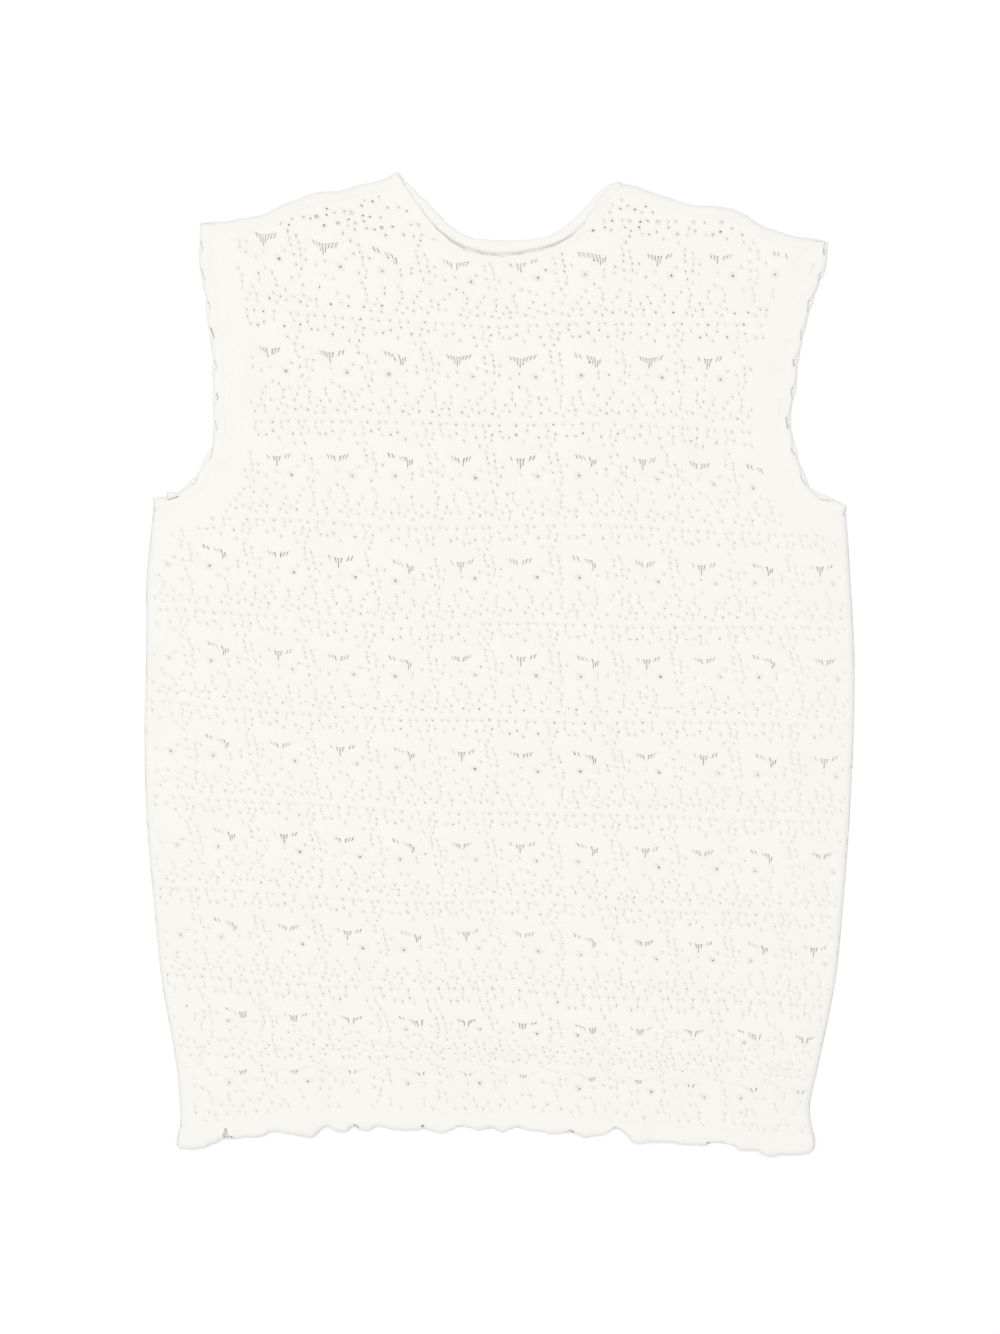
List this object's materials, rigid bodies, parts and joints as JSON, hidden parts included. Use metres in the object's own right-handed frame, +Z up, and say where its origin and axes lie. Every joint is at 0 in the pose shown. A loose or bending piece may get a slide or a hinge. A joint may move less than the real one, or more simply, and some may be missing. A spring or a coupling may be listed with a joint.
{
  "type": "sweater vest",
  "caption": "Sleeveless openwork knitted vest laid flat, front up, with a scoop neck, wide armholes, raised welts and scalloped edgings.",
  "frame": {"origin": "middle of the laid-flat vest's bounding box, on the surface it rests on", "axes": "+X to the right as the vest is seen with its front up, +Y from hem to neck, +Z up from the surface, out of the front"},
  "size_m": [0.4858, 0.6714, 0.0065],
  "materials": {
    "lace_knit": "matte off-white openwork knitting",
    "seam_knit": "matte off-white plain knitting, rolled",
    "edging_knit": "matte off-white scalloped edging"
  },
  "bodies": {
    "root": {"front_panel": "lace_knit", "back_panel": "lace_knit", "shoulder_seam_left": "seam_knit", "shoulder_seam_right": "seam_knit", "neck_edging_front": "edging_knit", "neck_edging_back": "edging_knit", "armhole_edging_left_front": "edging_knit", "armhole_edging_left_back": "edging_knit", "armhole_edging_right_front": "edging_knit", "armhole_edging_right_back": "edging_knit", "hem_edging_front": "edging_knit", "hem_edging_back": "edging_knit"}
  },
  "joints": []
}
